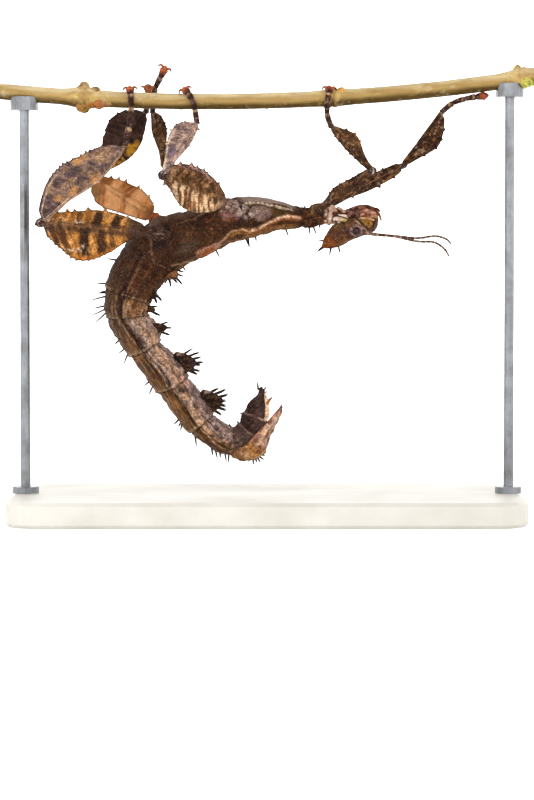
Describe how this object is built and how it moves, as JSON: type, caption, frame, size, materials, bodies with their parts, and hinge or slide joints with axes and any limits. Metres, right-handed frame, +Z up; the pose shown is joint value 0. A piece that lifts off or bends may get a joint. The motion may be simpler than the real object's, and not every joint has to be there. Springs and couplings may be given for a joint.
{
  "type": "giant prickly stick insect model",
  "caption": "Life-size still model of a giant prickly stick insect hanging belly up under a cut twig, tail curled over, on a plain display stand with two rods.",
  "frame": {"origin": "middle of the underside of the stand's base, which rests on the floor", "axes": "+X the way the insect's head points, along the twig; +Y to the insect's right side, away from the camera; +Z up"},
  "size_m": [0.134, 0.06, 0.1091],
  "materials": {
    "body_cuticle": "dry mottled brown and grey cuticle",
    "leg_cuticle": "dry leafy cuticle, tan with dark cross bands",
    "pale_cuticle": "soft pale pinkish tan membrane",
    "rusty_cuticle": "satin rusty brown cuticle",
    "eye_dark": "glossy dark brown eye",
    "twig_bark": "smooth olive tan young bark",
    "stand_white": "satin off-white painted board",
    "stand_steel": "brushed stainless steel"
  },
  "bodies": {
    "root": {"abdomen_1": "body_cuticle", "abdomen_10": "body_cuticle", "abdomen_2": "body_cuticle", "abdomen_3": "body_cuticle", "abdomen_4": "body_cuticle", "abdomen_5": "body_cuticle", "abdomen_6": "body_cuticle", "abdomen_7": "body_cuticle", "abdomen_8": "body_cuticle", "abdomen_9": "body_cuticle", "coxa_fore_left": "leg_cuticle", "coxa_fore_right": "leg_cuticle", "coxa_hind_left": "leg_cuticle", "coxa_hind_right": "leg_cuticle", "coxa_middle_left": "leg_cuticle", "coxa_middle_right": "leg_cuticle", "eye_left": "eye_dark", "eye_right": "eye_dark", "feeler_left": "body_cuticle", "feeler_right": "body_cuticle", "femur_fore_left": "leg_cuticle", "femur_fore_right": "leg_cuticle", "femur_hind_left": "leg_cuticle", "femur_hind_right": "leg_cuticle", "femur_middle_left": "leg_cuticle", "femur_middle_right": "leg_cuticle", "foot_fore_left": "rusty_cuticle", "foot_fore_right": "rusty_cuticle", "foot_hind_left": "rusty_cuticle", "foot_hind_right": "rusty_cuticle", "foot_middle_left": "rusty_cuticle", "foot_middle_right": "rusty_cuticle", "head": "body_cuticle", "mesothorax": "body_cuticle", "metathorax": "body_cuticle", "mouthparts": "rusty_cuticle", "neck": "pale_cuticle", "perch_twig": "twig_bark", "prothorax": "body_cuticle", "stand_base": "stand_white", "stand_rod_head": "stand_steel", "stand_rod_tail": "stand_steel", "tail_flap_left": "rusty_cuticle", "tail_flap_right": "rusty_cuticle", "tail_scoop": "pale_cuticle", "tibia_fore_left": "leg_cuticle", "tibia_fore_right": "leg_cuticle", "tibia_hind_left": "leg_cuticle", "tibia_hind_right": "leg_cuticle", "tibia_middle_left": "leg_cuticle", "tibia_middle_right": "leg_cuticle"}
  },
  "joints": []
}
